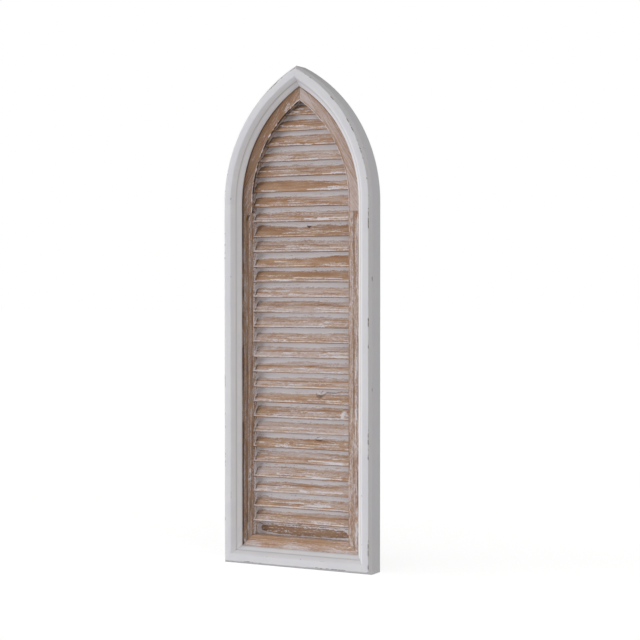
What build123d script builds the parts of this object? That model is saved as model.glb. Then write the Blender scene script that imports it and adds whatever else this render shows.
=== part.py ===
"""Pointed-arch louvred shutter: painted outer frame, wood inner frame, fixed louvre slats."""

import os
from math import asin, atan, cos, degrees, hypot, radians, sin, sqrt

from build123d import *

# Overall sizes
overall_width = 300.0
overall_height = 900.0
overall_depth = 40.0
arch_radius = 275.0

# Painted outer frame section
frame_face = 31.0
chamfer_width = 4.6
chamfer_drop = 7.0
ovolo_width = 6.6
ovolo_drop = 7.4
ovolo_bow = 0.5
quirk_drop = 1.0
bead_width = 6.9
bead_drop = 7.1
bead_bow = 0.6
lip_thickness = 2.5
lip_overlap = 8.0

# Wood inner frame
inner_face = 21.5
inner_arris = 1.5
arch_tail = 16.0

# Louvre slats
slat_count = 28
slat_width = 32.0
slat_thickness = 3.0
slat_nose = 0.8
slat_front_gap = 3.2
slat_back_gap = 1.25
first_slat_rise = 23.4
top_slat_reach = 26.9
groove_depth = 5.0
groove_clearance = 0.15

# Closing strip behind the bottom rail's top edge
strip_thickness = 3.2
strip_back_gap = 0.8
strip_lap = 4.0

# Keyhole slots in the back of the outer stiles, for a round-head screw
keyhole_height = 600.0
keyhole_entry_radius = 5.5
keyhole_head_width = 7.6
keyhole_neck_width = 4.2
keyhole_travel = 12.0
keyhole_lip = 4.0
keyhole_depth = 10.0

# Derived places: the origin lies on the back face, in the middle of the bottom rail
half_width = overall_width / 2
rail_back = frame_face - lip_overlap
base_z = -rail_back / 2
centre_x = arch_radius - half_width
springing_z = base_z + overall_height - sqrt(arch_radius**2 - centre_x**2)
front_y = -overall_depth
inner_front_y = front_y + ovolo_drop + quirk_drop + bead_drop + lip_thickness
opening_offset = frame_face + inner_face
opening_half = half_width - opening_offset
opening_z = base_z + opening_offset
opening_apex_z = springing_z + sqrt((arch_radius - opening_offset) ** 2 - centre_x**2)
inner_joint_z = springing_z - arch_tail

# Slat section: it leans back just far enough to fill the depth left for it
slat_room = -inner_front_y - slat_front_gap - slat_back_gap
slat_lean = asin(slat_room / hypot(slat_width, slat_thickness)) - atan(slat_thickness / slat_width)
slat_height = slat_width * cos(slat_lean) + slat_thickness * sin(slat_lean)
slat_middle_y = inner_front_y + slat_front_gap + slat_room / 2
first_slat_z = opening_z + first_slat_rise
slat_pitch = (opening_apex_z - top_slat_reach - first_slat_z) / (slat_count - 1)
slat_levels = [first_slat_z + slat_pitch * step for step in range(slat_count)]

# Mitre and apex planes, each facing the side that is kept
stile_mitre = Plane(origin=(-half_width, 0, base_z), z_dir=(-1, 0, 1))
rail_left_mitre = Plane(origin=(-half_width, 0, base_z), z_dir=(1, 0, -1))
rail_right_mitre = Plane(origin=(half_width, 0, base_z), z_dir=(-1, 0, -1))
apex_left = Plane(origin=(0, 0, 0), z_dir=(-1, 0, 0))
arch_axis = Axis((centre_x, 0, springing_z), (0, 1, 0))
arch_sweep = 90.0


def frame_section():
    """Outer frame section: first axis inward from the outer edge, second axis front to back."""
    ovolo_end = (frame_face - bead_width, front_y + ovolo_drop)
    ovolo_start = (ovolo_end[0] - ovolo_width, front_y)
    bead_start = (ovolo_end[0], ovolo_end[1] + quirk_drop)
    bead_end = (frame_face, bead_start[1] + bead_drop)
    with BuildSketch() as section:
        with BuildLine():
            back = Line((rail_back, 0), (0, 0))
            side = Line(back @ 1, (0, front_y + chamfer_drop))
            chamfer_face = Line(side @ 1, (chamfer_width, front_y))
            Line(chamfer_face @ 1, ovolo_start)
            SagittaArc(ovolo_start, ovolo_end, -ovolo_bow)
            Line(ovolo_end, bead_start)
            SagittaArc(bead_start, bead_end, -bead_bow)
            Polyline(bead_end, (frame_face, inner_front_y), (rail_back, inner_front_y), (rail_back, 0))
        make_face()
    return section.sketch


def inner_section():
    """Inner frame section, on the same axes as the outer frame section."""
    with BuildSketch() as section:
        with Locations(((rail_back + opening_offset) / 2, inner_front_y / 2)):
            Rectangle(opening_offset - rail_back, -inner_front_y)
        sight_corner = section.vertices().sort_by(Axis.Y)[:2].sort_by(Axis.X)[-1]
        fillet(sight_corner, inner_arris)
    return section.sketch


def slat_section(level, clearance=0.0):
    """Leaning slat section on the YZ plane, its lowest point at the given level."""
    with BuildSketch(Plane.YZ) as section:
        with Locations((slat_middle_y, level + slat_height / 2)):
            Rectangle(
                slat_thickness + 2 * clearance,
                slat_width + 2 * clearance,
                rotation=-degrees(slat_lean),
            )
        nose_corners = section.vertices().sort_by(Axis.Y)[:2]
        fillet(nose_corners, slat_nose + clearance)
    return section.sketch


def arch_outline(inset):
    """Pointed-arch outline of the shutter on the XZ plane, set in from the outer edge."""
    left = -half_width + inset
    bottom = base_z + inset
    radius = arch_radius - inset
    apex = (0, springing_z + sqrt(radius**2 - centre_x**2))
    with BuildSketch(Plane.XZ) as outline:
        with BuildLine():
            Polyline((left, springing_z), (left, bottom), (-left, bottom), (-left, springing_z))
            RadiusArc((-left, springing_z), apex, -radius)
            RadiusArc(apex, (left, springing_z), -radius)
        make_face()
    return outline.sketch


os.makedirs("parts", exist_ok=True)

with BuildPart() as frame_left_stile:
    with BuildSketch(Plane.XY.offset(base_z)):
        with Locations((-half_width, 0)):
            add(frame_section())
    extrude(amount=springing_z - base_z)
    split(bisect_by=stile_mitre, keep=Keep.TOP)
    keyhole_x = -half_width + rail_back / 2
    keyhole_z = base_z + keyhole_height
    with BuildSketch(Plane.XZ):
        with Locations((keyhole_x, keyhole_z)):
            Circle(keyhole_entry_radius)
        with Locations((keyhole_x, keyhole_z + keyhole_travel / 2)):
            SlotCenterToCenter(keyhole_travel, keyhole_neck_width, rotation=90)
    extrude(amount=keyhole_depth, mode=Mode.SUBTRACT)
    with BuildSketch(Plane.XZ.offset(keyhole_lip)):
        with Locations((keyhole_x, keyhole_z + keyhole_travel / 2)):
            SlotCenterToCenter(keyhole_travel, keyhole_head_width, rotation=90)
    extrude(amount=keyhole_depth - keyhole_lip, mode=Mode.SUBTRACT)

with BuildPart() as frame_right_stile:
    mirror(frame_left_stile.part, about=Plane.YZ)

with BuildPart() as frame_bottom_rail:
    with BuildSketch(Plane(origin=(0, 0, base_z), x_dir=(0, 0, 1), z_dir=(-1, 0, 0))):
        add(frame_section())
    extrude(amount=half_width, both=True)
    split(bisect_by=rail_left_mitre, keep=Keep.TOP)
    split(bisect_by=rail_right_mitre, keep=Keep.TOP)

with BuildPart() as frame_left_arch:
    with BuildSketch(Plane.XY.offset(springing_z)):
        with Locations((-half_width, 0)):
            add(frame_section())
    revolve(axis=arch_axis, revolution_arc=arch_sweep)
    split(bisect_by=apex_left, keep=Keep.TOP)

with BuildPart() as frame_right_arch:
    mirror(frame_left_arch.part, about=Plane.YZ)

# Grooves for the slat ends, and the seat of the closing strip
strip_foot_z = opening_z - groove_depth
strip_top_z = first_slat_z + strip_lap
strip_front_y = -strip_back_gap - strip_thickness

with BuildPart() as slat_field:
    extrude(arch_outline(opening_offset - groove_depth), amount=overall_depth)

with BuildPart() as seats:
    for slat_level in slat_levels:
        extrude(slat_section(slat_level, groove_clearance), amount=half_width, both=True)
    with BuildSketch(Plane.YZ):
        with Locations((strip_front_y - groove_clearance, strip_foot_z)):
            Rectangle(
                strip_thickness + 2 * groove_clearance,
                strip_top_z + groove_clearance - strip_foot_z,
                align=(Align.MIN, Align.MIN),
            )
    extrude(amount=half_width, both=True)
    add(slat_field.part, mode=Mode.INTERSECT)

with BuildPart() as inner_left_stile:
    with BuildSketch(Plane.XY.offset(base_z)):
        with Locations((-half_width, 0)):
            add(inner_section())
    extrude(amount=inner_joint_z - base_z)
    split(bisect_by=stile_mitre, keep=Keep.TOP)
    add(seats.part, mode=Mode.SUBTRACT)

with BuildPart() as inner_right_stile:
    mirror(inner_left_stile.part, about=Plane.YZ)

with BuildPart() as inner_bottom_rail:
    with BuildSketch(Plane(origin=(0, 0, base_z), x_dir=(0, 0, 1), z_dir=(-1, 0, 0))):
        add(inner_section())
    extrude(amount=half_width, both=True)
    split(bisect_by=rail_left_mitre, keep=Keep.TOP)
    split(bisect_by=rail_right_mitre, keep=Keep.TOP)
    add(seats.part, mode=Mode.SUBTRACT)

with BuildPart() as inner_left_arch:
    with BuildSketch(Plane.XY.offset(springing_z)) as arch_start:
        with Locations((-half_width, 0)):
            add(inner_section())
    revolve(axis=arch_axis, revolution_arc=arch_sweep)
    extrude(arch_start.sketch, amount=-arch_tail)
    split(bisect_by=apex_left, keep=Keep.TOP)
    add(seats.part, mode=Mode.SUBTRACT)

with BuildPart() as inner_right_arch:
    mirror(inner_left_arch.part, about=Plane.YZ)

with BuildPart() as bottom_strip:
    with BuildSketch(Plane.YZ):
        with Locations((strip_front_y, strip_foot_z)):
            Rectangle(strip_thickness, strip_top_z - strip_foot_z, align=(Align.MIN, Align.MIN))
    extrude(amount=opening_half + groove_depth, both=True)

pieces = {
    "frame_left_stile": frame_left_stile,
    "frame_right_stile": frame_right_stile,
    "frame_bottom_rail": frame_bottom_rail,
    "frame_left_arch": frame_left_arch,
    "frame_right_arch": frame_right_arch,
    "inner_left_stile": inner_left_stile,
    "inner_right_stile": inner_right_stile,
    "inner_bottom_rail": inner_bottom_rail,
    "inner_left_arch": inner_left_arch,
    "inner_right_arch": inner_right_arch,
    "bottom_strip": bottom_strip,
}

# Slats run between the grooves, those in the arch scribed to its curve
for number, slat_level in enumerate(slat_levels, start=1):
    with BuildPart() as slat:
        extrude(slat_section(slat_level), amount=half_width, both=True)
        add(slat_field.part, mode=Mode.INTERSECT)
    pieces[f"louvre_slat_{number:02d}"] = slat

for piece_name, piece in pieces.items():
    piece.part.label = piece_name
    export_step(piece.part, f"parts/{piece_name}.step")
    print(piece_name, len(piece.part.solids()), round(piece.part.volume))
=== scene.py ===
import math
import bpy
import bmesh
import numpy as np
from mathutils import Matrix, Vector


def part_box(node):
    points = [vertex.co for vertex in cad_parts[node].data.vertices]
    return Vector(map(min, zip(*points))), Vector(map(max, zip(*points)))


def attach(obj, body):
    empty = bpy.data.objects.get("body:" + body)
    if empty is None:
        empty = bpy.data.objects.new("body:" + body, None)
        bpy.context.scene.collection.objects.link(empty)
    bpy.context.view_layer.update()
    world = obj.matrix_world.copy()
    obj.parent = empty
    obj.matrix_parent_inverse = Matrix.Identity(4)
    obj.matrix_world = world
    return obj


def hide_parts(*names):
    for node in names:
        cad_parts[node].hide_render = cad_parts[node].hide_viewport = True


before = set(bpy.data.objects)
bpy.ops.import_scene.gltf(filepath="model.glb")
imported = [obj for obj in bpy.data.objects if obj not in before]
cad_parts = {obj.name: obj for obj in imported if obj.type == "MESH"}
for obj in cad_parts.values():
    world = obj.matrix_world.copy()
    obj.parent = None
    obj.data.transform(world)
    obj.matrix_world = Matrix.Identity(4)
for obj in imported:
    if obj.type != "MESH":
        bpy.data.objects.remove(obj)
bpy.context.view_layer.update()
print("frame loaded with", len(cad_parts), "nodes")

mm = 0.001

# the shutter's main lines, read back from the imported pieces
railLow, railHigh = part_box("frame_bottom_rail")
archLow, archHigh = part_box("frame_left_arch")
halfWidth = railHigh.x
foot = railLow.z
springing = archLow.z
archRise = archHigh.z - springing
archRadius = (archRise ** 2 + halfWidth ** 2) / (2 * halfWidth)
archCentre = archRadius - halfWidth
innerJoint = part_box("inner_left_arch")[0].z
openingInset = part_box("inner_left_stile")[1].x + halfWidth
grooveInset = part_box("louvre_slat_01")[0].x + halfWidth


def ease(low, high, value):
    part = np.clip((value - low) / (high - low), 0, 1)
    return part * part * (3 - 2 * part)


def patch(x, y, seed):  # smooth random field, about 1 unit a blob
    table = np.random.default_rng(seed).random((64, 64))
    x, y = np.broadcast_arrays(np.asarray(x, float), np.asarray(y, float))
    left, low = np.floor(x), np.floor(y)
    px, py = x - left, y - low
    px, py = px * px * (3 - 2 * px), py * py * (3 - 2 * py)
    i, j = left.astype(int) % 64, low.astype(int) % 64
    k, n = (i + 1) % 64, (j + 1) % 64
    near = table[i, j] * (1 - px) + table[k, j] * px
    far = table[i, n] * (1 - px) + table[k, n] * px
    return near * (1 - py) + far * py


def rough(x, y, seed):  # three sizes of patch in one
    broad = 0.55 * patch(x, y, seed)
    middle = 0.3 * patch(x * 2.1, y * 2.1, seed + 1)
    return broad + middle + 0.15 * patch(x * 4.3, y * 4.3, seed + 2)


def openingHalf(z, inset):  # half the opening's width at a height, for an edge set in from the outside
    radius = archRadius - inset
    rise = np.clip(np.asarray(z) - springing, 0, radius)
    return np.sqrt(radius ** 2 - rise ** 2) - archCentre


def roundedOutline(corners, flatStep):  # corners are (a, b, radius) in mm, closed; gives metres
    count = len(corners)
    points = []
    for n in range(count):
        a, b, radius = corners[n]
        here = np.array((a, b), float)
        if radius <= 0:
            points.append(here)
            continue
        back = np.array(corners[n - 1][:2], float) - here
        ahead = np.array(corners[(n + 1) % count][:2], float) - here
        back, ahead = back / np.hypot(*back), ahead / np.hypot(*ahead)
        half = math.acos(np.clip(back @ ahead, -1, 1)) / 2
        middle = here + (back + ahead) / np.hypot(*(back + ahead)) * radius / math.sin(half)
        start = here + back * radius / math.tan(half) - middle
        end = here + ahead * radius / math.tan(half) - middle
        turn = math.atan2(start[0] * end[1] - start[1] * end[0], start @ end)
        steps = max(3, round(abs(turn) / math.radians(18)))
        for k in range(steps + 1):
            angle = turn * k / steps
            c, s = math.cos(angle), math.sin(angle)
            points.append(middle + np.array((start[0] * c - start[1] * s, start[0] * s + start[1] * c)))
    dense = []
    for n in range(len(points)):
        here, ahead = points[n], points[(n + 1) % len(points)]
        parts = max(1, math.ceil(np.hypot(*(ahead - here)) / flatStep))
        dense += [here + (ahead - here) * k / parts for k in range(parts)]
    return np.array(dense) * mm


def outwardOf(outline):  # unit normals of a closed outline
    along = np.roll(outline, -1, 0) - np.roll(outline, 1, 0)
    area = np.sum(outline[:, 0] * np.roll(outline[:, 1], -1) - np.roll(outline[:, 0], -1) * outline[:, 1])
    side = np.stack((along[:, 1], -along[:, 0]), 1) * (1 if area > 0 else -1)
    return side / np.linalg.norm(side, axis=1, keepdims=True)


def linked(name, data):  # a new object in the scene
    thing = bpy.data.objects.new(name, data)
    bpy.context.scene.collection.objects.link(thing)
    return thing


def faceOutward(mesh):
    work = bmesh.new()
    work.from_mesh(mesh)
    bmesh.ops.recalc_face_normals(work, faces=work.faces)
    work.to_mesh(mesh)
    work.free()


def gridMesh(name, points, values, material):  # points are rows x columns x 3, columns closed into a loop
    rows, columns = points.shape[:2]
    i, j = np.meshgrid(np.arange(columns), np.arange(rows - 1))
    k = (i + 1) % columns
    quads = np.stack((j * columns + i, j * columns + k, (j + 1) * columns + k, (j + 1) * columns + i), -1)
    faces = quads.reshape(-1, 4).tolist()
    faces.append(list(range(columns)))
    faces.append(list(range((rows - 1) * columns, rows * columns))[::-1])
    mesh = bpy.data.meshes.new(name)
    mesh.from_pydata(points.reshape(-1, 3).tolist(), [], faces)
    for key, value in values.items():
        value = np.asarray(value, np.float32)
        if value.ndim == 3:
            mesh.attributes.new(key, "FLOAT_VECTOR", "POINT").data.foreach_set("vector", value.ravel())
        else:
            spread = np.broadcast_to(value, (rows, columns)).astype(np.float32)
            mesh.attributes.new(key, "FLOAT", "POINT").data.foreach_set("value", spread.ravel())
    faceOutward(mesh)
    mesh.shade_smooth()
    mesh.set_sharp_from_angle(angle=math.radians(50))
    mesh.materials.append(material)
    return linked(name, mesh)


def settle(piece, node):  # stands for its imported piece
    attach(piece, "root")
    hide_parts(node)


def stations(length, step, lip):  # 0..1 along a run, with one close row inside each end
    inner = np.linspace(lip, length - lip, max(3, round(length / step)))
    return np.concatenate(([0.0], inner, [length])) / length


def spots(x, y, z):
    return np.stack(np.broadcast_arrays(x, y, z), -1)


# runs: each turns (inset, depth, share of the run) into a place and a distance along the grain
def stilePlace(side, top):
    def place(u, y, t):
        start = foot + u
        z = start + (top - start) * t
        return spots(side * (halfWidth - u), y, z), z
    return place


def railPlace(u, y, t):
    x = (halfWidth - u) * (2 * t - 1)
    return spots(x, y, foot + u), x


def archPlace(side, tail):
    def place(u, y, t):
        radius = archRadius - u
        turn = np.arccos(archCentre / radius)
        run = -tail + (tail + radius * turn) * t
        angle = np.maximum(run, 0) / radius
        x = radius * np.cos(angle) - archCentre
        z = springing + radius * np.sin(angle) + np.minimum(run, 0)
        return spots(side * x, y, z), run
    return place


# shader building blocks
def newNode(tree, kind, **settings):
    node = tree.nodes.new(kind)
    for key, value in settings.items():
        setattr(node, key, value)
    return node


def feed(tree, socket, value):
    if isinstance(value, bpy.types.NodeSocket):
        tree.links.new(value, socket)
    else:
        socket.default_value = value


def sums(tree, operation, first, second=0.5, clamp=False):
    node = newNode(tree, "ShaderNodeMath", operation=operation, use_clamp=clamp)
    feed(tree, node.inputs[0], first)
    feed(tree, node.inputs[1], second)
    return node.outputs[0]


def stretch(tree, vector, scales):
    node = newNode(tree, "ShaderNodeVectorMath", operation="MULTIPLY")
    feed(tree, node.inputs[0], vector)
    node.inputs[1].default_value = scales
    return node.outputs[0]


def cloud(tree, vector, scales, detail=3.0, roughness=0.55):
    node = newNode(tree, "ShaderNodeTexNoise", noise_dimensions="3D")
    feed(tree, node.inputs["Vector"], stretch(tree, vector, scales))
    node.inputs["Scale"].default_value = 1.0
    node.inputs["Detail"].default_value = detail
    node.inputs["Roughness"].default_value = roughness
    return node.outputs["Fac"]


def ramp(tree, value, low, high, toLow=0.0, toHigh=1.0):
    node = newNode(tree, "ShaderNodeMapRange", interpolation_type="SMOOTHSTEP")
    feed(tree, node.inputs["Value"], value)
    feed(tree, node.inputs["From Min"], low)
    feed(tree, node.inputs["From Max"], high)
    node.inputs["To Min"].default_value = toLow
    node.inputs["To Max"].default_value = toHigh
    return node.outputs["Result"]


def blend(tree, share, first, second):
    node = newNode(tree, "ShaderNodeMix", data_type="RGBA")
    feed(tree, node.inputs["Factor"], share)
    feed(tree, node.inputs[6], first)
    feed(tree, node.inputs[7], second)
    return node.outputs[2]


def field(tree, name, kind="Fac"):
    return newNode(tree, "ShaderNodeAttribute", attribute_name=name).outputs[kind]


def newGroup(name, inputs, outputs):
    tree = bpy.data.node_groups.new(name, "ShaderNodeTree")
    for label, kind, start in inputs:
        socket = tree.interface.new_socket(label, in_out="INPUT", socket_type=kind)
        if start is not None:
            socket.default_value = start
    for label, kind in outputs:
        tree.interface.new_socket(label, in_out="OUTPUT", socket_type=kind)
    return tree, tree.nodes.new("NodeGroupInput"), tree.nodes.new("NodeGroupOutput")


def useGroup(tree, group, **values):
    node = newNode(tree, "ShaderNodeGroup", node_tree=group)
    for key, value in values.items():
        feed(tree, node.inputs[key], value)
    return node


def firGrainGroup():  # growth rings, fibres and broad tone of a softwood board
    tree, inlet, outlet = newGroup(
        "firGrain",
        [("Coords", "NodeSocketVector", None), ("Rings", "NodeSocketFloat", 260.0)],
        [("Late", "NodeSocketFloat"), ("Fibre", "NodeSocketFloat"), ("Broad", "NodeSocketFloat")],
    )
    coords = inlet.outputs["Coords"]
    across = newNode(tree, "ShaderNodeVectorMath", operation="LENGTH")
    feed(tree, across.inputs[0], stretch(tree, coords, (0, 1, 1)))
    wander = sums(tree, "MULTIPLY", cloud(tree, coords, (7, 22, 22), 2.0), 0.016)
    jitter = sums(tree, "MULTIPLY", cloud(tree, coords, (40, 420, 420), 2.0), 0.0016)
    radius = sums(tree, "ADD", sums(tree, "ADD", across.outputs["Value"], wander), jitter)
    ring = sums(tree, "FRACT", sums(tree, "MULTIPLY", radius, inlet.outputs["Rings"]))
    late = sums(tree, "MULTIPLY", ramp(tree, ring, 0.25, 0.9), ramp(tree, ring, 1.0, 0.9))
    feed(tree, outlet.inputs["Late"], late)
    feed(tree, outlet.inputs["Fibre"], cloud(tree, coords, (36, 1100, 1100), 4.0, 0.6))
    feed(tree, outlet.inputs["Broad"], cloud(tree, coords, (16, 95, 95), 3.0, 0.55))
    return tree


def limedFirGroup(grainGroup):  # sanded fir under a scumbled veil and remains of lime wash
    tree, inlet, outlet = newGroup(
        "limedFir",
        [
            ("Coords", "NodeSocketVector", None),
            ("Wash", "NodeSocketFloat", 0.0),
            ("Veil", "NodeSocketFloat", 0.3),
            ("Stain", "NodeSocketFloat", 0.0),
            ("Tone", "NodeSocketFloat", 0.0),
            ("Brush", "NodeSocketFloat", 1.0),
            ("Pale Wood", "NodeSocketColor", (0.5, 0.35, 0.24, 1)),
            ("Brown Wood", "NodeSocketColor", (0.3, 0.19, 0.12, 1)),
            ("Scumble", "NodeSocketColor", (0.7, 0.6, 0.55, 1)),
            ("Lime", "NodeSocketColor", (0.8, 0.76, 0.77, 1)),
            ("Fresh Lime And Painted Light", "NodeSocketColor", (0.9, 0.88, 0.9, 1)),
        ],
        [("Color", "NodeSocketColor"), ("Roughness", "NodeSocketFloat"), ("Height", "NodeSocketFloat")],
    )
    get = inlet.outputs
    grain = useGroup(tree, grainGroup, Coords=get["Coords"])
    late, fibre, broad = (grain.outputs[n] for n in ("Late", "Fibre", "Broad"))
    fine = sums(tree, "SUBTRACT", fibre, 0.5)
    drag = sums(tree, "SUBTRACT", cloud(tree, get["Coords"], (90, 470, 470), 4.0, 0.62), 0.5)  # dry brush
    drawn = sums(tree, "SUBTRACT", cloud(tree, get["Coords"], (12, 560, 560), 3.0, 0.6), 0.5)  # long strokes
    grit = sums(tree, "SUBTRACT", cloud(tree, get["Coords"], (300, 760, 760), 3.0, 0.6), 0.5)  # sanding
    brownShare = sums(tree, "ADD", sums(tree, "MULTIPLY", late, 0.35), ramp(tree, broad, 0.3, 0.7, 0.1, 0.75))
    brownShare = sums(tree, "ADD", brownShare, sums(tree, "MULTIPLY", fine, 0.8))
    brownShare = sums(tree, "ADD", brownShare, sums(tree, "MULTIPLY", grit, 0.8), clamp=True)
    wood = blend(tree, brownShare, get["Pale Wood"], get["Brown Wood"])
    wood = blend(tree, get["Tone"], wood, (0.17, 0.088, 0.048, 1))
    # the veil is thin and brushed along the grain; it leaves the late wood and the hollows brown
    brushed = sums(tree, "ADD", sums(tree, "MULTIPLY", drag, 1.2), sums(tree, "MULTIPLY", fine, 0.9))
    brushed = sums(tree, "ADD", brushed, sums(tree, "MULTIPLY", drawn, 1.2))
    brushed = sums(tree, "ADD", brushed, sums(tree, "MULTIPLY", grit, 1.1))
    brushed = sums(tree, "MULTIPLY", brushed, get["Brush"])
    veil = sums(tree, "ADD", get["Veil"], sums(tree, "SUBTRACT", brushed, sums(tree, "MULTIPLY", late, 0.1)))
    color = blend(tree, ramp(tree, veil, 0.05, 0.95, 0.0, 0.85), wood, get["Scumble"])
    film = ramp(tree, sums(tree, "ADD", get["Wash"], brushed), 0.3, 0.75, 0.0, 0.94)
    # wash above 1 turns to the fresh lime colour; on the slats this is partly a painted light, under the
    # noses and at the upper left corners
    lime = blend(tree, ramp(tree, get["Wash"], 1.05, 1.6), get["Lime"], get["Fresh Lime And Painted Light"])
    color = blend(tree, film, color, lime)
    dashes = sums(tree, "MULTIPLY", sums(tree, "ADD", fine, sums(tree, "ADD", grit, drag)), get["Brush"])
    stain = sums(tree, "ADD", get["Stain"], sums(tree, "MULTIPLY", dashes, 0.4))
    stain = ramp(tree, stain, 0.25, 0.85, 0.0, 0.92)
    color = blend(tree, stain, color, (0.06, 0.036, 0.026, 1))
    feed(tree, outlet.inputs["Color"], color)
    feed(tree, outlet.inputs["Roughness"], ramp(tree, film, 0.0, 1.0, 0.62, 0.85))
    height = sums(tree, "ADD", sums(tree, "MULTIPLY", fibre, 0.6), sums(tree, "MULTIPLY", film, 0.5))
    height = sums(tree, "SUBTRACT", height, sums(tree, "MULTIPLY", stain, 0.6))
    feed(tree, outlet.inputs["Height"], height)
    return tree


def newMaterial(name):
    material = bpy.data.materials.new(name)
    material.use_nodes = True
    shader = material.node_tree.nodes["Principled BSDF"]
    return material, material.node_tree, shader


def bumped(tree, shader, height, distance, strength=1.0):
    node = newNode(tree, "ShaderNodeBump")
    node.inputs["Strength"].default_value = strength
    node.inputs["Distance"].default_value = distance
    feed(tree, node.inputs["Height"], height)
    tree.links.new(node.outputs["Normal"], shader.inputs["Normal"])


def limedWood(name, limedGroup, colors):
    material, tree, shader = newMaterial(name)
    wood = useGroup(tree, limedGroup, Coords=field(tree, "grain", "Vector"), **colors)
    for label in ("Wash", "Veil", "Stain", "Tone", "Brush"):
        feed(tree, wood.inputs[label], field(tree, label.lower()))
    tree.links.new(wood.outputs["Color"], shader.inputs["Base Color"])
    tree.links.new(wood.outputs["Roughness"], shader.inputs["Roughness"])
    shader.inputs["Specular IOR Level"].default_value = 0.25
    bumped(tree, shader, wood.outputs["Height"], 0.0003, 0.7)
    return material


def rubbedPaint(grainGroup):  # off-white brush paint, rubbed through on the arrises
    material, tree, shader = newMaterial("rubbed white paint")
    coords = field(tree, "grain", "Vector")
    grain = useGroup(tree, grainGroup, Coords=coords)
    brush = cloud(tree, coords, (14, 520, 520), 3.0)
    mottle = cloud(tree, coords, (26, 26, 26), 4.0)
    paint = blend(tree, ramp(tree, mottle, 0.3, 0.7), (0.785, 0.783, 0.824, 1), (0.83, 0.824, 0.854, 1))
    paint = blend(tree, ramp(tree, brush, 0.55, 0.8, 0.0, 0.35), paint, (0.73, 0.728, 0.725, 1))
    # the grime attribute darkens the paint: dirt, a darker chamfer, and painted shade in the crease of the
    # moulding
    grimeAndShade = sums(tree, "MULTIPLY", field(tree, "grimeAndShade"), ramp(tree, mottle, 0.3, 0.7, 0.42, 0.62), clamp=True)
    paint = blend(tree, grimeAndShade, paint, (0.38, 0.35, 0.315, 1))
    chips = sums(tree, "SUBTRACT", cloud(tree, coords, (420, 900, 900), 3.0), 0.5)
    worn = sums(tree, "ADD", field(tree, "wear"), sums(tree, "MULTIPLY", chips, 0.55))
    halo = ramp(tree, worn, 0.22, 0.5, 0.0, 0.55)
    paint = blend(tree, halo, paint, (0.56, 0.54, 0.51, 1))
    bare = blend(tree, grain.outputs["Fibre"], (0.10, 0.082, 0.07, 1), (0.27, 0.22, 0.18, 1))
    through = ramp(tree, worn, 0.46, 0.6)
    paint = blend(tree, through, paint, bare)
    tree.links.new(paint, shader.inputs["Base Color"])
    tree.links.new(ramp(tree, through, 0.0, 1.0, 0.52, 0.8), shader.inputs["Roughness"])
    shader.inputs["Specular IOR Level"].default_value = 0.35
    height = sums(tree, "SUBTRACT", sums(tree, "MULTIPLY", brush, 0.35), through)
    height = sums(tree, "ADD", height, sums(tree, "MULTIPLY", grain.outputs["Late"], 0.1))
    bumped(tree, shader, height, 0.00025, 0.5)
    return material


def bareWood(grainGroup):  # cut fir inside the keyholes
    material, tree, shader = newMaterial("bare fir")
    place = newNode(tree, "ShaderNodeTexCoord").outputs["Object"]
    turned = newNode(tree, "ShaderNodeVectorRotate", rotation_type="Y_AXIS")
    turned.inputs["Angle"].default_value = math.radians(90)
    feed(tree, turned.inputs["Vector"], place)
    grain = useGroup(tree, grainGroup, Coords=turned.outputs["Vector"])
    tint = blend(tree, grain.outputs["Fibre"], (0.52, 0.37, 0.25, 1), (0.36, 0.24, 0.15, 1))
    tree.links.new(tint, shader.inputs["Base Color"])
    shader.inputs["Roughness"].default_value = 0.8
    return material


grainGroup = firGrainGroup()
bareFir = bareWood(grainGroup)
limedGroup = limedFirGroup(grainGroup)
whitePaint = rubbedPaint(grainGroup)
woodColors = {
    "Pale Wood": (0.55, 0.365, 0.24, 1), "Brown Wood": (0.4, 0.21, 0.11, 1),
    "Scumble": (0.68, 0.6, 0.6, 1), "Lime": (0.8, 0.765, 0.79, 1),
    "Fresh Lime And Painted Light": (0.95, 0.92, 0.945, 1),
}
frameWood = limedWood("limed frame wood", limedGroup, woodColors)
slatWood = limedWood("limed slat wood", limedGroup, woodColors)
print("materials ready")

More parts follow.
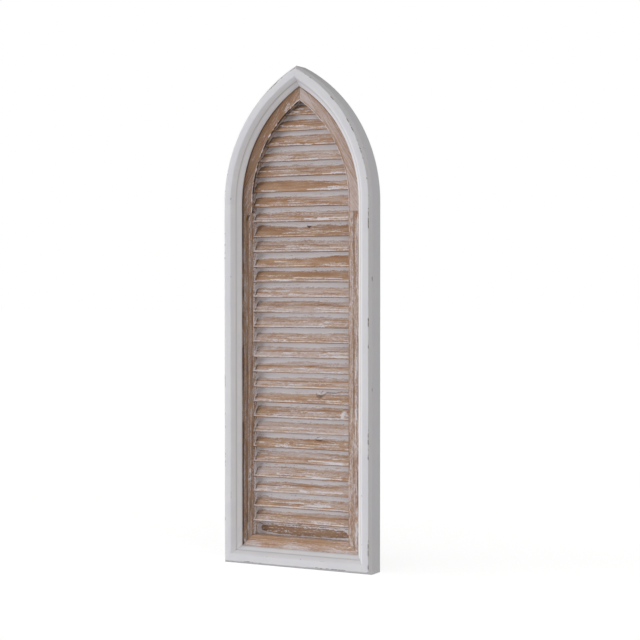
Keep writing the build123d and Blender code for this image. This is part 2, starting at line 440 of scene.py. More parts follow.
# painted outer frame
outerFrame = {
    "depth": 40.0, "chamferWide": 4.6, "chamferDrop": 7.0, "faceEdge": 17.5,
    "ovoloWide": 6.6, "ovoloDrop": 7.4, "ovoloBow": 0.5, "quirk": 1.0,
    "beadWide": 6.9, "beadDrop": 7.1, "beadBow": 0.6, "lipBack": -22.0, "rabbetAt": 23.0,
    "rowStep": 2.2 * mm, "endRow": 0.35 * mm, "rubDepth": 0.35 * mm,
    # small random rubs: name, inset and depth of the arris, reach across, rate
    "arrises": [
        ("outer", 4.6, -40.0, 0.8, 0.56), ("side", 0.0, -33.0, 0.8, 0.40), ("face", 17.5, -40.0, 0.7, 0.36),
        ("lip", 31.0, -24.0, 0.7, 0.2), ("back", 0.0, 0.0, 1.0, 0.5),
    ],
    # larger rubs: arris, distance from the start of the run, half length, strength
    "rubs": {
        "frame_left_stile": [("face", 125, 10, 0.8), ("face", 70, 18, 0.5)],
        "frame_right_stile": [
            ("outer", 634, 14, 0.72), ("outer", 446, 8, 1.2), ("outer", 45, 20, 1.0), ("outer", 200, 30, 0.6),
            ("back", 420, 120, 0.75),
        ],
        "frame_bottom_rail": [
            ("face", 98, 24, 0.62), ("face", 161, 2, 0.9), ("face", 206, 7, 0.7), ("outer", 215, 60, 0.95),
            ("outer", 60, 30, 0.8),
        ],
        "frame_left_arch": [("outer", 293, 4, 0.9), ("outer", 241, 26, 1.1)],
        "frame_right_arch": [("outer", 226, 10, 0.4), ("outer", 95, 34, 0.95), ("back", 120, 110, 0.8)],
    },
    # lasting dirt on the paint, a darker tint on the bevel and a thin line worn along the outer arris
    "dirt": {"frame_right_stile": 0.14, "frame_bottom_rail": 0.14, "frame_right_arch": 0.13},
    "bevelDarkening": {"frame_left_stile": 0.5, "frame_left_arch": 0.5}, "usualBevelDarkening": 0.35,
    "wornLine": {"frame_right_stile": 0.4, "frame_right_arch": 0.34}, "usualWornLine": 0.15,
    "mitreEase": 0.12 * mm, "sway": 0.12 * mm,
    # hanging keyholes in the backs of the stiles, mm: middles, then rise, radii, travel and depths
    "keyholes": {"frame_left_stile": -138.5, "frame_right_stile": 138.5},
    "keyhole": {
        "rise": 600.0, "entry": 5.5, "neck": 2.1, "head": 3.8, "travel": 12.0, "lip": 4.0, "depth": 10.0,
    },
    # dirt and painted shade in the crease of the moulding: inset, depth, radius, strength
    "creaseDirtAndShade": {
        "frame_left_stile": (24.2, -32.2, 1.2, 0.9), "frame_left_arch": (24.2, -32.2, 1.2, 1.0),
        "frame_bottom_rail": (24.2, -32.2, 1.1, 0.8), "frame_right_stile": (22.4, -34.6, 2.8, 1.0),
        "frame_right_arch": (22.4, -34.6, 2.8, 1.0),
    },
}


def bowed(start, end, bow):  # shallow swell between two points of a section
    run, drop = end[0] - start[0], end[1] - start[1]
    long = math.hypot(run, drop)
    steps = [k / 8 for k in range(9)]
    swells = [4 * bow * t * (1 - t) / long for t in steps]
    return [(start[0] + run * t + drop * w, start[1] + drop * t - run * w, 0) for t, w in zip(steps, swells)]


def frameOutline(o):
    face, front = o["faceEdge"], -o["depth"]
    corners = [(o["rabbetAt"], 0, 0.4), (0, 0, 0.8), (0, front + o["chamferDrop"], 0.6)]
    corners += [(o["chamferWide"], front, 0.5), (face - 0.4, front, 0)]
    crease = (face + o["ovoloWide"], front + o["ovoloDrop"])
    step = (crease[0], crease[1] + o["quirk"])
    lip = (step[0] + o["beadWide"], step[1] + o["beadDrop"])
    corners += bowed((face, front + 0.35), crease, o["ovoloBow"]) + bowed(step, lip, o["beadBow"])
    corners += [(lip[0], o["lipBack"], 0.3), (o["rabbetAt"], o["lipBack"], 0)]
    return roundedOutline(corners, 1.6)


frameSection = frameOutline(outerFrame)
frameOut = outwardOf(frameSection)


def keyholePrism(x, half, nearY, farY):  # round entry with a slot above it, as a closed prism
    k = outerFrame["keyhole"]
    start = math.acos(half / k["entry"])
    turns = np.linspace(start, -math.pi - start, 40)
    ring = [(k["entry"] * math.cos(a), k["entry"] * math.sin(a)) for a in turns]
    ring += [(half * math.cos(a), k["travel"] + half * math.sin(a)) for a in np.linspace(math.pi, 0, 16)]
    count = len(ring)
    points = [((x + a) * mm, y * mm, foot + (k["rise"] + b) * mm) for y in (nearY, farY) for a, b in ring]
    faces = [(n, (n + 1) % count, count + (n + 1) % count, count + n) for n in range(count)]
    faces += [tuple(range(count)), tuple(range(2 * count - 1, count - 1, -1))]
    mesh = bpy.data.meshes.new("keyholePrism")
    mesh.from_pydata(points, [], faces)
    faceOutward(mesh)
    mesh.materials.append(bareFir)
    return linked("keyholePrism", mesh)


def cutKeyhole(piece, x):
    k = outerFrame["keyhole"]
    piece.data.materials.append(bareFir)
    for half, nearY, farY in ((k["head"], -k["lip"], -k["depth"]), (k["neck"], 1.0, -k["lip"] - 0.02)):
        prism = keyholePrism(x, half, nearY, farY)
        cut = piece.modifiers.new("keyhole", "BOOLEAN")
        cut.operation = "DIFFERENCE"
        cut.solver = "EXACT"
        cut.material_mode = "TRANSFER"
        cut.object = prism
        made = bpy.data.meshes.new_from_object(piece.evaluated_get(bpy.context.evaluated_depsgraph_get()))
        piece.modifiers.clear()
        old, piece.data = piece.data, made
        bpy.data.meshes.remove(old)
        bpy.data.meshes.remove(prism.data)


def paintedPiece(node, place, length, seed, softEnds):
    o = outerFrame
    share = stations(length, o["rowStep"], o["endRow"])[:, None]
    u, y = frameSection[None, :, 0], frameSection[None, :, 1]
    _, run = place(u, y, share)
    wear = np.zeros_like(run)
    for n, (arris, a, b, reach, rate) in enumerate(o["arrises"]):
        gap = np.hypot(u - a * mm, y - b * mm) / (reach * mm)
        marks = rough(run * 45, n * 7.3 + 0 * run, seed + n * 11)
        fine = patch(run * 330, n * 3.1 + 0 * run, seed + n * 11 + 5)
        amount = ease(0.78 - 0.42 * rate, 1.0 - 0.42 * rate, marks * 0.75 + fine * 0.25) * 0.9
        if arris == "outer":
            amount = np.maximum(amount, o["wornLine"].get(node, o["usualWornLine"]) * (0.6 + 0.6 * marks))
        for where, at, half, strength in o["rubs"][node]:
            if where == arris:
                near = np.exp(-((run - run.min() - at * mm) / (half * mm)) ** 2)
                amount = np.maximum(amount, near * strength * (0.45 + 0.75 * fine))
        wear = np.maximum(wear, amount * np.exp(-gap ** 2))
    # the crease of the moulding is darkened: dirt, and painted shade of the crease
    creaseU, creaseY, creaseRadius, creaseDarkness = o["creaseDirtAndShade"][node]
    crease = np.hypot(u - creaseU * mm, y - creaseY * mm) / (creaseRadius * mm)
    bevel = ease(4.8 * mm, 4.2 * mm, u) * ease(-32.6 * mm, -33.4 * mm, y)
    grimeAndShade = creaseDarkness * np.exp(-crease ** 2) + o["bevelDarkening"].get(node, o["usualBevelDarkening"]) * bevel
    grimeAndShade = grimeAndShade + o["dirt"].get(node, 0) + 0 * run
    sink = -o["rubDepth"] * ease(0.35, 0.9, wear) - o["sway"] * rough(run * 18, u * 60, seed + 90)
    for row, soft in ((0, softEnds[0]), (-1, softEnds[1])):
        sink[row] -= soft
    shiftedU, shiftedY = u + frameOut[None, :, 0] * sink, y + frameOut[None, :, 1] * sink
    points, run = place(shiftedU, shiftedY, share)
    grain = spots(run + seed * 0.37, u, y + 0.05)
    piece = gridMesh(node + "_painted", points, {"grain": grain, "wear": wear, "grimeAndShade": grimeAndShade}, whitePaint)
    if node in o["keyholes"]:
        cutKeyhole(piece, o["keyholes"][node])
    settle(piece, node)


eased = outerFrame["mitreEase"]
stileLength = springing - foot
archLength = archRadius * math.acos(archCentre / archRadius)
paintedPiece("frame_left_stile", stilePlace(-1, springing), stileLength, 3, (eased, 0))
paintedPiece("frame_right_stile", stilePlace(1, springing), stileLength, 5, (eased, 0))
paintedPiece("frame_bottom_rail", railPlace, 2 * halfWidth, 8, (eased, eased))
paintedPiece("frame_left_arch", archPlace(-1, 0.0), archLength, 12, (0, eased))
paintedPiece("frame_right_arch", archPlace(1, 0.0), archLength, 15, (0, eased))
print("painted frame built")

# wood inner frame
innerFrame = {
    "rabbetAt": 23.0, "front": -22.0, "arris": 1.5, "rowStep": 2.2 * mm, "finer": 1.5,
    "endRow": 0.4 * mm, "jointEase": 0.2 * mm, "sway": 0.18 * mm,
    # the left stile and left arch get more tone and stain and less veil: darker wood, and painted shade of
    # the outer frame's lip
    "finishesAndShade": {
        "inner_left_stile": {"wash": 0.02, "veil": 0.22, "tone": 0.5, "stain": 0.36, "brush": 2.5},
        "inner_right_stile": {"wash": 0.04, "veil": 0.44, "tone": 0.2, "stain": 0.14, "brush": 1.9},
        "inner_bottom_rail": {"wash": 0.06, "veil": 0.4, "tone": 0.0, "stain": 0.05, "brush": 1.25},
        "inner_left_arch": {"wash": -0.1, "veil": 0.28, "tone": 0.25, "stain": 0.14, "brush": 1.1},
        "inner_right_arch": {"wash": -0.1, "veil": 0.72, "tone": 0.0, "stain": 0.0, "brush": 0.6},
    },
    # lines sanded along the pieces: inset, half width, wash, veil, tone and stain added there
    "lines": {
        "inner_left_stile": [
            (32.6, 1.0, -0.3, -0.2, 0.1, 0.2), (36.5, 2.6, 0.08, 0.0, 0.0, 0.0),
            (41.3, 1.0, -0.4, -0.3, 0.1, 0.1), (51.4, 1.4, -0.6, -0.4, 0.1, 0.0),
        ],
        "inner_right_stile": [
            (32.6, 1.0, -0.3, -0.2, 0.1, 0.15), (36.5, 2.8, 0.26, 0.16, 0.0, 0.0),
            (41.3, 1.0, -0.6, -0.5, 0.2, 0.15), (47.0, 2.2, 0.1, 0.14, 0.0, 0.0),
            (51.4, 1.4, -0.5, -0.4, 0.15, 0.05),
        ],
        "inner_bottom_rail": [(34.5, 4.0, 0.14, 0.35, 0.0, 0.0), (48.5, 4.5, -0.4, -0.35, 0.1, 0.0)],
        "inner_left_arch": [
            (32.2, 1.0, -0.3, -0.2, 0.2, 0.2), (52.0, 0.7, -0.3, -0.3, 0.3, 0.5),
            (51.2, 0.8, 1.1, 0.3, 0.0, 0.0),
        ],
        "inner_right_arch": [
            (32.2, 1.0, -0.3, -0.2, 0.2, 0.2), (51.9, 0.7, 1.1, 0.3, 0.0, 0.0),
            (50.3, 1.0, -0.4, -0.3, 0.2, 0.15),
        ],
    },
    # wash and stain on the edge toward the slats
    "reveals": {"inner_left_arch": (0.5, 0.5)}, "usualReveal": (0.45, 0.0),
    "darkFeet": {"inner_left_arch": (0.3, 0.22, 110 * mm)},  # tone, stain and reach up from the joint
    "glueLine": 449.5,  # the arches are cut from two boards glued along the chord
    # brushed dabs of wash: x, z (from the foot), half length, half width, angle, strength
    "dabs": {
        "inner_left_stile": [
            (-103.5, 154, 3.0, 2.2, 60, 1.0), (-102.4, 170, 5.0, 1.6, 85, 1.0),
            (-114, 40, 7.0, 1.8, 115, 1.2), (-108, 66, 12, 1.3, 82, 0.9),
        ],
        "inner_right_stile": [
            (103.6, 47, 5.0, 2.3, 80, 1.1), (113.5, 38, 4.5, 2.0, 40, 1.1), (109, 66, 9.0, 1.5, 88, 0.8),
        ],
        "inner_bottom_rail": [
            (100, 43, 6.0, 1.6, 30, 0.8), (70, 38, 9.0, 1.2, 170, 0.7), (-112, 37, 6.0, 1.6, 140, 0.9),
        ],
        "inner_left_arch": [(-26, 829, 11, 4.5, 52, 0.56), (-22, 824, 8, 2, 50, 0.5)],
    },
    # dark knots and splits, given the same way
    "knots": {
        "inner_left_stile": [
            (-107.5, 631, 8.0, 3.2, 80, 0.95), (-104, 634, 5.0, 1.6, 60, 0.85),
            (-107.5, 582, 5.0, 1.8, 80, 0.65), (-102, 108, 30, 0.9, 94.5, 0.85),
            (-109, 81, 22, 1.2, 109, 0.8),
        ],
        "inner_right_stile": [(107, 300, 5.0, 1.2, 88, 0.5)],
    },
}
innerSection = roundedOutline(
    [
        (innerFrame["rabbetAt"], innerFrame["front"], 0.4),
        (openingInset / mm, innerFrame["front"], innerFrame["arris"]),
        (openingInset / mm, 0, 0.6),
        (innerFrame["rabbetAt"], 0, 0.4),
    ],
    1.3,
)
innerOut = outwardOf(innerSection)


def brushMark(points, x, z, long, wide, angle):  # 1 in the middle of a mark, fading outward
    c, d = math.cos(math.radians(angle)), math.sin(math.radians(angle))
    right, rise = points[..., 0] / mm - x, (points[..., 2] - foot) / mm - z
    gap = ((right * c + rise * d) / long) ** 2 + ((rise * c - right * d) / wide) ** 2
    return np.exp(-gap)


def innerPiece(node, place, length, seed, chord=None):
    finishAndShade = innerFrame["finishesAndShade"][node]
    share = stations(length, innerFrame["rowStep"], innerFrame["endRow"])[:, None]
    u, y = innerSection[None, :, 0], innerSection[None, :, 1]
    points, run = place(u, y, share)
    front = ease(-18.0 * mm, -20.4 * mm, y)
    back = ease(-1.5 * mm, -0.3 * mm, y)
    inside = (1 - front) * (1 - back)
    across = u - innerFrame["rabbetAt"] * mm
    streaks = rough(run * 16, across * 620, seed) * 0.6 + rough(run * 60, across * 260, seed + 4) * 0.4 - 0.5
    washed, veil = finishAndShade["wash"] + 1.1 * streaks, finishAndShade["veil"] + 0.6 * streaks
    tone, stain = finishAndShade["tone"] + 0 * run, finishAndShade["stain"] + 0 * run
    for n, (inset, half, addWash, addVeil, addTone, addStain) in enumerate(innerFrame["lines"][node]):
        wander = 0.8 * mm * (patch(run * 12, n + 0 * run, seed + 40) - 0.5)
        broken = 1.4 * ease(0.25, 0.6, rough(run * (22 if half > 0.9 else 130), n + 0 * run, seed + 50))
        line = np.exp(-((u - inset * mm - wander) / (half * mm)) ** 2) * broken
        washed, veil = washed + addWash * line, veil + addVeil * line
        tone, stain = tone + addTone * line, stain + addStain * line * 2
    if chord is not None:
        along = np.array(chord) / np.hypot(*chord)
        offChord = np.abs(points[..., 0] * along[1] - points[..., 2] * along[0]) / mm - innerFrame["glueLine"]
        belly = ease(-0.8, 0.8, offChord)
        veil, tone = veil - 0.2 * belly, tone + 0.14 * belly
        stain = stain + 0.35 * np.exp(-(offChord / 0.7) ** 2)
    footTone, footStain, footReach = innerFrame["darkFeet"].get(node, (0.0, 0.0, 1.0))
    nearFoot = np.exp(-((run - run.min()) / footReach) ** 2)
    tone, stain = tone + footTone * nearFoot, stain + footStain * nearFoot
    edgeWash, edgeStain = innerFrame["reveals"].get(node, innerFrame["usualReveal"])
    wash = front * washed + inside * edgeWash + back * 0.2
    for x, z, long, wide, angle, strength in innerFrame["dabs"].get(node, ()):
        wash = np.maximum(wash, front * strength * brushMark(points, x, z, long, wide, angle))
    for x, z, long, wide, angle, strength in innerFrame["knots"].get(node, ()):
        stain = np.maximum(stain, front * strength * brushMark(points, x, z, long, wide, angle))
    ends = np.minimum(share, 1 - share) * length
    stain = np.maximum(stain, 0.5 * np.exp(-(ends / (0.7 * mm)) ** 2)) * front + edgeStain * inside
    sink = -innerFrame["sway"] * rough(run * 22, across * 90, seed + 20)
    sink[0] -= innerFrame["jointEase"]
    sink[-1] -= innerFrame["jointEase"]
    points, run = place(u + innerOut[None, :, 0] * sink, y + innerOut[None, :, 1] * sink, share)
    finer = innerFrame["finer"]
    if chord is None:
        grain = spots(run + seed * 0.53, (u - 0.034) * finer + seed % 3 * 0.004, y + 0.045)
    else:
        x, z = points[..., 0], points[..., 2]
        grain = spots(x * along[0] + z * along[1] + seed * 0.53, x * along[1] - z * along[0], y + 0.045)
    values = {"grain": grain, "wash": wash, "veil": veil, "stain": stain}
    values.update(tone=np.clip(tone, 0, 1), brush=finishAndShade["brush"] + 0 * run)
    piece = gridMesh(node + "_limed", points, values, frameWood)
    settle(piece, node)


tailLength = springing - innerJoint
innerStile = innerJoint - foot
innerRadius = archRadius - 0.035  # near the middle of the face
innerArch = innerRadius * math.acos(archCentre / innerRadius) + tailLength
innerPiece("inner_left_stile", stilePlace(-1, innerJoint), innerStile, 21)
innerPiece("inner_right_stile", stilePlace(1, innerJoint), innerStile, 24)
innerPiece("inner_bottom_rail", railPlace, 2 * halfWidth, 27)
innerPiece("inner_left_arch", archPlace(-1, tailLength), innerArch, 30, (halfWidth, archRise))
innerPiece("inner_right_arch", archPlace(1, tailLength), innerArch, 33, (-halfWidth, archRise))
print("inner frame built")

# louvre slats
slats = {
    "width": 32.0, "thick": 3.0, "nose": 0.8, "front": -18.8, "back": -1.25,
    "rowStep": 1.6 * mm, "faceStep": 0.8, "sway": 0.16 * mm, "noseRub": 0.3 * mm, "warp": 0.35, "brush": 1.15,
    # knots by slat: x, distance up the face, half length, height below and above, roundness (1 pointed,
    # 2 round) and darkness of the heart
    "knots": {
        20: (13.5, 23.4, 6.5, 6.5, 1.2, 1.5, 0.95), 9: (36.3, 21, 10.5, 12, 7, 1.5, 0.6),
        6: (33, 20.8, 8, 5, 4.5, 2.0, 0.7),
    },
    "splits": {9: (47, 92, 22.4)},  # x at both ends, distance up the face
    # bold strokes of wash by slat: x and distance up the face at both ends, half height, strength
    "boldStrokes": {
        2: [(15, 7, 55, 8, 2.4, 1.0)], 3: [(-90, 4, -75, 4, 1.6, 1.0), (0, 5, 80, 6, 1.3, 1.15)],
        4: [(10, 6, 80, 3, 1.3, 1.15)], 5: [(15, 7, 80, 4, 1.4, 1.1)], 6: [(-35, 10, 55, 6, 1.0, 0.85)],
        8: [(84, 15, 83, 4, 1.6, 1.2)], 14: [(-85, 2, 10, 2, 0.8, 1.0)], 17: [(-15, 9, 80, 7, 1.0, 1.0)],
        21: [(10, 5, 55, 4, 1.2, 0.95)], 23: [(15, 3, 75, 3, 1.1, 1.15), (-80, 3, -55, 2, 1.2, 1.0)],
    },
    "looseStrokes": 3,  # fainter ones thrown on each slat at random
    # how far each slat was sanded back: share of veil left on it
    "veils": {
        0.2: (17, 18, 20, 23), 0.33: (6, 22, 24, 27, 28), 0.45: (1, 4, 8, 9, 19, 21, 26),
        0.6: (2, 3, 5, 7, 10, 11, 12, 13, 14, 15, 16, 25),
    },
}
slatRoom = slats["back"] - slats["front"]
slatCorner = math.atan(slats["thick"] / slats["width"])
slatLean = math.asin(slatRoom / math.hypot(slats["width"], slats["thick"])) - slatCorner
slatTall = (slats["width"] * math.cos(slatLean) + slats["thick"] * math.sin(slatLean)) * mm
slatFace = [(h, 0, 0) for h in np.arange(slats["nose"] + 0.4, slats["width"] - 1, slats["faceStep"])]
slatSection = roundedOutline(
    [
        (0, 0, slats["nose"]), *slatFace, (slats["width"], 0, 0.5), (slats["width"], slats["thick"], 0.5),
        (0, slats["thick"], slats["nose"]),
    ],
    2.6,
)
slatOut = outwardOf(slatSection)


def strokesOn(number):  # the bold strokes of a slat and a few loose ones
    strokes = list(slats["boldStrokes"].get(number, ()))
    loose = np.random.default_rng(900 + number)
    for _ in range(slats["looseStrokes"]):
        fromX, long = loose.uniform(-95, 65), loose.uniform(15, 70)
        fromH, climb, half = loose.uniform(2, 13), loose.uniform(-2, 2), loose.uniform(0.8, 3.4)
        strokes.append((fromX, fromH, fromX + long, fromH + climb, half, 1.05 - 0.2 * half))
    return strokes


def strokeMark(x, h, stroke, seed):  # a drifting, swelling stroke of wash
    fromX, fromH, toX, toH, half, strength = stroke
    leg = np.array((toX - fromX, toH - fromH))
    part = np.clip(((x / mm - fromX) * leg[0] + (h - fromH) * leg[1]) / (leg @ leg), 0, 1)
    drift = 2.2 * (rough(x * 26, fromX + 0 * x, seed + 27) - 0.5)
    swell = half * (0.55 + 0.9 * rough(x * 34, fromX + 0 * x, seed + 29))
    off = np.hypot((x / mm - fromX - leg[0] * part) / 2.6, h - fromH - leg[1] * part - drift) / swell
    return strength * np.exp(-off ** 2) * (0.45 + 1.05 * rough(x * 64, h * 0.4, seed + 26))


def knotMark(x, h, knot, seed):  # stain of the rim and heart, then the scurf of wash above it and its flecks
    kx, kh, wide, below, above, point, dark = knot
    rise = h - kh
    gap = (np.abs(x / mm - kx) / wide) ** point + (np.maximum(rise / above, -rise / below)) ** point
    gap = gap ** (1 / point) + 0.4 * (rough(x * 170, h * 0.17, seed + 16) - 0.5)
    flecks = rough(x * 210, h * 0.21, seed + 18)
    rim = np.exp(-((gap - 0.85) / 0.2) ** 2) * ease(0.6 * above, -0.1 * below, rise) * (0.5 + 0.5 * flecks)
    heart = ease(0.95, 0.75, gap) * ease(-0.05 * below, -0.35 * below, rise) * (0.7 + 0.5 * flecks)
    scurf = ease(1.0, 0.8, gap) * ease(-0.4 * below, 0.1 * above, rise)
    return np.maximum(0.78 * rim, dark * heart), scurf, flecks


def splitMark(x, h, split, seed):  # a crack that narrows along the grain
    fromX, toX, kh = split
    along = ease(fromX - 1, fromX + 1, x / mm) * ease(toX, fromX + 6, x / mm)
    wander = 0.6 * (patch(x * 70, 0 * x, seed + 12) - 0.5)
    return along, np.exp(-((h - kh - wander) / (0.45 + 0.9 * along)) ** 2)


def slatPiece(number):
    node = f"louvre_slat_{number:02d}"
    dice = np.random.default_rng(400 + number)
    seed = 700 + number * 13
    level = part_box(node)[1].z - slatTall
    up, deep = slatSection[None, :, 0], slatSection[None, :, 1]
    sine, cosine = math.sin(slatLean), math.cos(slatLean)
    z0 = level + slats["thick"] * mm * sine + up * cosine - deep * sine
    reach = openingHalf(z0, grooveInset)
    length = 2 * float(reach.max())
    share = np.linspace(0, 1, max(12, round(length / slats["rowStep"])))[:, None]
    x = reach * (2 * share - 1)
    fromLeft = (x + openingHalf(z0, openingInset)) / mm
    fromRight = (openingHalf(z0, openingInset) - x) / mm
    h = up / mm + 0 * x
    front = ease(1.9 * mm, 0.9 * mm, deep)
    # wash left under the slat above and in the corners, where sanding did not reach
    corner = 1.6 * np.exp(-((fromLeft - 3) / 3) ** 2) + 1.5 * np.exp(-((fromRight - 1) / 3) ** 2)
    topAt = dice.uniform(19.0, 23.0) - corner
    topAt = topAt + dice.uniform(2.0, 5.0) * (rough(x * 12, 0 * x, seed) - 0.5) * 2
    low = ease(23, 19, number)  # the slats in the arch were sanded right up to the left arris
    topWashAndPaintedLight = ease(-2.4, 2.0, h - topAt) * (0.62 + 0.6 * rough(x * 20, h * 0.25, seed + 24))
    # just under the slat above, the wash is pushed to fresh lime: whiter unsanded lime, and a painted light
    # against the shade of the nose above
    topWashAndPaintedLight = topWashAndPaintedLight + 0.4 * ease(26.0, 29.0, h)
    # a painted light at the upper left corner of the lower slats, where the left stile shades them
    topWashAndPaintedLight = topWashAndPaintedLight + 0.6 * low * ease(21, 26, h) * np.exp(-(fromLeft / 12) ** 2)
    leftAt = 2.4 * low - 0.2 + 0.07 * h * low + 1.6 * (rough(h * 0.25, 0 * h, seed + 5) - 0.5)
    rightAt = 1.4 + 2.0 * (rough(h * 0.25, 0 * h, seed + 6) - 0.5)
    washLeft, washRight = ease(-1.0, 1.0, leftAt - fromLeft), ease(-1.0, 1.0, rightAt - fromRight)
    kept = ease(dice.uniform(0.1, 0.35), dice.uniform(0.45, 0.65), rough(x * 15, 0 * x, seed + 8))
    bareEnd = (1 - low) * np.exp(-(fromLeft / 26) ** 2)
    noseLine = 0.9 * np.exp(-((h - 2.3) / 0.75) ** 2) * kept * (1 - bareEnd)
    noseLine = noseLine + low * np.exp(-((h - 1.9) / 1.2) ** 2 - (fromLeft / 5) ** 2)
    scumbled = 0.3 * np.exp(-((h - 4.0) / 2.2) ** 2) * ease(0.4, 0.7, rough(x * 18, 0 * x, seed + 7))
    blots = 0.4 * ease(0.58, 0.8, rough(x * 22, h * 0.12, seed + 9))
    strokeAt = dice.uniform(5, 10) + 0.03 * (h - 9) ** 2
    stroke = dice.uniform(-0.4, 0.5) * np.exp(-((fromRight - strokeAt) / 2.0) ** 2)
    stroke = stroke * ease(2, 5, h) * ease(20, 15, h)
    wash = 1 - (1 - washLeft) * (1 - washRight) * (1 - scumbled) * (1 - blots) * (1 - np.maximum(stroke, 0))
    wash = np.maximum(wash, topWashAndPaintedLight)
    wash = np.maximum(wash, 1.15 * noseLine) * ease(0.7, 1.5, h) * front
    wash = wash + 0.7 * (1 - front) * ease(3.0, 6.0, h)
    veilLeft = next(part for part, which in slats["veils"].items() if number in which)
    veil = veilLeft + 0.05 + 0.6 * (rough(x * 11, h * 0.06, seed + 11) - 0.5)
    veil = veil + 0.2 * ease(10, 2, h) * (rough(x * 17, 0 * x, seed + 17) - 0.35)
    # thin lines sanded through to bare wood, then the bare nose and the strokes of wash
    for n in range(3):
        lineAt = dice.uniform(2.5, 17) + 2.0 * (patch(x * 6, n + 0 * x, seed + 20) - 0.5)
        line = np.exp(-((h - lineAt) / dice.uniform(0.6, 1.3)) ** 2)
        line = line * ease(0.35, 0.6, rough(x * 9, n + 0 * x, seed + 22))
        veil, wash = veil - 0.55 * line, wash - 0.35 * line * front
    veil = veil - 0.3 * ease(1.7, 1.1, h) - 0.4 * bareEnd * ease(24, 18, h)
    for drawn in strokesOn(number):
        wash = np.maximum(wash, front * strokeMark(x, h, drawn, seed))
    # brown smears that the sander left beside the margins
    smear = np.exp(-((fromLeft - leftAt - 1.3) / 1.2) ** 2) * ease(2, 5, h) * ease(topAt + 1, topAt - 3, h)
    stain = 0.95 * smear * ease(0.25, 0.5, rough(h * 0.3, 0 * x, seed + 10))
    smear = np.exp(-((fromRight - rightAt - 2) / 2.2) ** 2) * np.exp(-((h - topAt + 3) / 3.0) ** 2)
    stain = np.maximum(stain, smear * dice.uniform(0.1, 0.8)) * front
    # a little darker along the nose and darker on its underside: bare brown wood, with painted shade under
    # the nose
    stain = stain + 0.15 * ease(1.0, 0.5, h) + 0.6 * (1 - front) * ease(5.0, 2.0, h)
    if number in slats["knots"]:
        dark, scurf, flecks = knotMark(x, h, slats["knots"][number], seed)
        stain = np.maximum(stain, front * dark)
        wash = wash * (1 - 0.8 * scurf) + front * scurf * 1.3 * ease(0.3, 0.6, flecks)
    if number in slats["splits"]:
        along, line = splitMark(x, h, slats["splits"][number], seed)
        stain = np.maximum(stain, front * 0.9 * along ** 0.5 * line)
    sink = -slats["sway"] * rough(x * 24, h * 0.12, seed + 14)
    sink = sink - slats["noseRub"] * np.exp(-(h / 2.0) ** 2) * rough(x * 40, 0 * x, seed + 15)
    bow = dice.uniform(-slats["warp"], slats["warp"]) * mm * (1 - (2 * share - 1) ** 2)
    newUp, newDeep = up + slatOut[None, :, 0] * sink, deep + slatOut[None, :, 1] * sink
    y = slats["front"] * mm + newUp * sine + newDeep * cosine + 0 * x
    z = level + slats["thick"] * mm * sine + newUp * cosine - newDeep * sine + bow
    grainUp = up - 0.016 + dice.uniform(-0.012, 0.012)
    grainDeep = deep - dice.uniform(0.012, 0.03)
    grain = spots(x + number * 0.61, grainUp, grainDeep)
    tone = max(0.0, dice.uniform(-0.1, 0.16)) + 0.2 * ease(1.2, 0.6, h)
    # darker towards the left end: painted shade of the left stile; on the slats in the arch, also the bare
    # sanded end
    tone = tone + 0.3 * np.exp(-(fromLeft / 11) ** 2) + 0.25 * bareEnd
    values = {"grain": grain, "wash": wash, "veil": veil, "stain": stain, "tone": tone}
    values["brush"] = slats["brush"] + 0 * x
    piece = gridMesh(node + "_limed", spots(x, y, z), values, slatWood)
    settle(piece, node)


for number in range(1, 29):
    slatPiece(number)
print("slats built")

# closing strip under the lowest slat
strip = {"rows": 150, "arris": 0.5, "veil": -0.1, "tone": 0.4, "brush": 1.7}


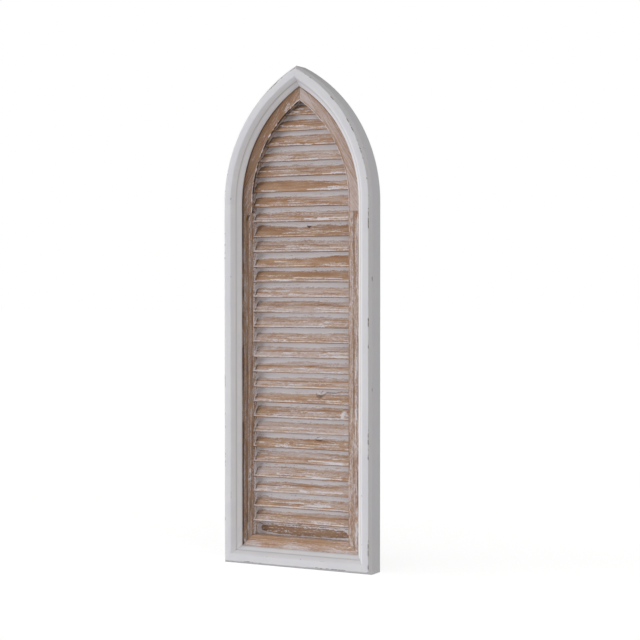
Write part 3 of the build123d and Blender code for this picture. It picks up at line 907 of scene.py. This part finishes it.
def stripPiece():
    node = "bottom_strip"
    low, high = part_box(node)
    corners = ((low.y, low.z), (high.y, low.z), (high.y, high.z), (low.y, high.z))
    outline = roundedOutline([(y / mm, z / mm, strip["arris"]) for y, z in corners], 1.0)
    share = np.linspace(0, 1, strip["rows"])[:, None]
    x = high.x * (2 * share - 1)
    y, z = outline[None, :, 0] + 0 * x, outline[None, :, 1] + 0 * x
    h = (z - foot - openingInset) / mm
    side = x / (halfWidth - openingInset)
    front = ease(high.y - 1.2 * mm, low.y + 1.2 * mm, y)
    # the sanded patch: blunt at the left, cut to a point at the right
    topAt = 16.2 - 8.8 * ease(0.8, 0.97, side) + 2.4 * (rough(x * 30, 0 * x, 61) - 0.5)
    lowAt = 1.2 + 4.0 * np.exp(-((side + 0.92) / 0.3) ** 2) + 3.0 * ease(0.4, 0.97, side)
    lowAt = lowAt + 2.4 * (rough(x * 32, 0 * x, 62) - 0.5)
    leftAt = -0.915 + 0.004 * (h - 11.5) ** 2 / 4
    sanded = ease(-0.8, 0.8, topAt - h) * ease(-0.8, 0.8, h - lowAt)
    sanded = sanded * ease(-0.012, 0.012, side - leftAt) * ease(0.975, 0.95, side)
    # above the patch the wash is thinner and greyer: a painted shade of the lowest slat's nose
    wash = 1 - 0.94 * sanded - 0.4 * ease(-0.5, 1.0, h - topAt) * ease(0.8, 0.5, side)
    wash = wash + 0.4 * ease(lowAt, lowAt - 2, h) * ease(-0.5, 0.8, side)
    wash = wash * front + 0.6 * (1 - front)
    stain = 0.55 * np.exp(-((h - lowAt - 1.2) / 1.0) ** 2) * ease(-0.4, 0.8, side) * sanded
    stain = np.maximum(stain, 0.8 * np.exp(-((h - 19) / 0.9) ** 2 - ((side - 0.88) / 0.05) ** 2)) * front
    wash = np.maximum(wash, 0.36 * ease(0.52, 0.75, rough(x * 11, h * 0.9, 66)) * sanded * front)
    veil = strip["veil"] + 0.6 * (rough(x * 8, h * 0.6, 67) - 0.5)
    tone = strip["tone"] + 0.25 * (rough(x * 7, h * 0.5, 68) - 0.5)
    grain = spots(x + 0.3, z - 0.05, y - 0.02)
    values = {"grain": grain, "wash": wash, "veil": veil, "stain": stain, "tone": tone}
    values["brush"] = strip["brush"] + 0 * x
    piece = gridMesh(node + "_limed", spots(x, y, z), values, slatWood)
    settle(piece, node)


stripPiece()
print("strip built")

# studio: pale floor, soft suns from the left, right, back and top, camera at the photograph's angle
studio = {
    "floorShade": 0.55, "floorGlow": 0.78, "floorBounce": 0.1, "floorReach": 30, "worldLight": 0.09,
    # soft suns: name, degrees right of the front and up, power, spread in degrees, colour
    "suns": [
        ("keyLight", (-55, 0), 1.76, 35, (0.97, 0.982, 1.0)),
        ("fillLight", (60, 0), 0.95, 45, (1.0, 0.978, 0.955)),
        ("sideLight", (-83, 0), 0.85, 25, (0.98, 0.985, 1.0)),
        ("backLight", (-160, 0), 0.75, 20, (1.0, 0.99, 0.98)),
        ("topLight", (10, 68), 0.82, 60, (1.0, 0.985, 0.965)),
    ],
    "lens": 90.75, "sensor": 36, "cameraAt": (1.366, -2.5777, 0.4905),
    "cameraTilt": 90 - 1.116, "cameraTurn": 27.4,
}


def softSun(name, bearing, power, spread, color):
    lamp = bpy.data.lights.new(name, "SUN")
    lamp.energy = power
    lamp.angle = math.radians(spread)
    lamp.color = color
    side, up = math.radians(bearing[0]), math.radians(bearing[1])
    holder = linked(name, lamp)
    toward = Vector((math.sin(side) * math.cos(up), -math.cos(side) * math.cos(up), math.sin(up)))
    holder.location = toward * 4
    holder.rotation_euler = toward.to_track_quat("Z", "Y").to_euler()


for sun in studio["suns"]:
    softSun(*sun)

world = bpy.data.worlds.new("paleStudio")
world.use_nodes = True
bpy.context.scene.world = world
sky = world.node_tree.nodes["Background"]
sky.inputs["Color"].default_value = (1, 1, 1, 1)
rays = newNode(world.node_tree, "ShaderNodeLightPath")
seen = ramp(world.node_tree, rays.outputs["Is Camera Ray"], 0.0, 1.0, studio["worldLight"], 1.0)
world.node_tree.links.new(seen, sky.inputs["Strength"])

floorMesh = bpy.data.meshes.new("studioFloor")
reach = studio["floorReach"]
floorCorners = [(-reach, -reach, foot), (reach, -reach, foot), (reach, reach, foot), (-reach, reach, foot)]
floorMesh.from_pydata(floorCorners, [], [(0, 1, 2, 3)])
floorMaterial, floorTree, floorShader = newMaterial("pale floor")
floorShader.inputs["Base Color"].default_value = (studio["floorShade"],) * 3 + (1,)
floorShader.inputs["Roughness"].default_value = 0.95
floorShader.inputs["Specular IOR Level"].default_value = 0.0
floorRays = newNode(floorTree, "ShaderNodeLightPath")
bounce, shown = (studio["floorBounce"],) * 3 + (1,), (studio["floorGlow"],) * 3 + (1,)
glow = blend(floorTree, floorRays.outputs["Is Camera Ray"], bounce, shown)
floorTree.links.new(glow, floorShader.inputs["Emission Color"])
floorShader.inputs["Emission Strength"].default_value = 1.0
floorMesh.materials.append(floorMaterial)
floor = linked("studioFloor", floorMesh)
floor.visible_shadow = False  # the low soft lights reach under the noses of the slats

lens = bpy.data.cameras.new("shutterCamera")
lens.sensor_width = studio["sensor"]
lens.lens = studio["lens"]
camera = linked("shutterCamera", lens)
camera.location = studio["cameraAt"]
camera.rotation_euler = (math.radians(studio["cameraTilt"]), 0, math.radians(studio["cameraTurn"]))
bpy.context.scene.camera = camera
bpy.context.scene.view_settings.view_transform = "Standard"
print("studio ready")
